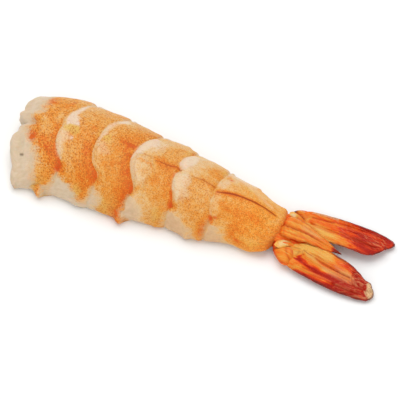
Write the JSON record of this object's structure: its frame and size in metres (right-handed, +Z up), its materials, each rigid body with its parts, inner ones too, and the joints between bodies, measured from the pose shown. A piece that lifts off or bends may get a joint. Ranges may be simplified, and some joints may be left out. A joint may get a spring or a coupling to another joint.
{
  "type": "cooked sushi shrimp with tail",
  "caption": "Boiled sushi shrimp, shelled, straightened and opened flat along the belly, with ringed flesh and its tail fan left on.",
  "frame": {"origin": "middle of the footprint, on the surface that the flat belly lies on", "axes": "+X from the cut head end to the tail fan, +Y towards the shrimp's right side, +Z up through the back"},
  "size_m": [0.103, 0.032, 0.0104],
  "materials": {
    "flesh": "moist cooked flesh, orange skin with white at the head end and along the lower flanks",
    "tail_shell": "thin glossy cooked shell, orange at the joint to dark red at the tips"
  },
  "bodies": {
    "root": {"flesh": "flesh", "telson": "tail_shell", "stem_left": "tail_shell", "stem_right": "tail_shell", "inner_blade_left": "tail_shell", "inner_blade_right": "tail_shell", "outer_blade_left": "tail_shell", "outer_blade_right": "tail_shell"}
  },
  "joints": []
}
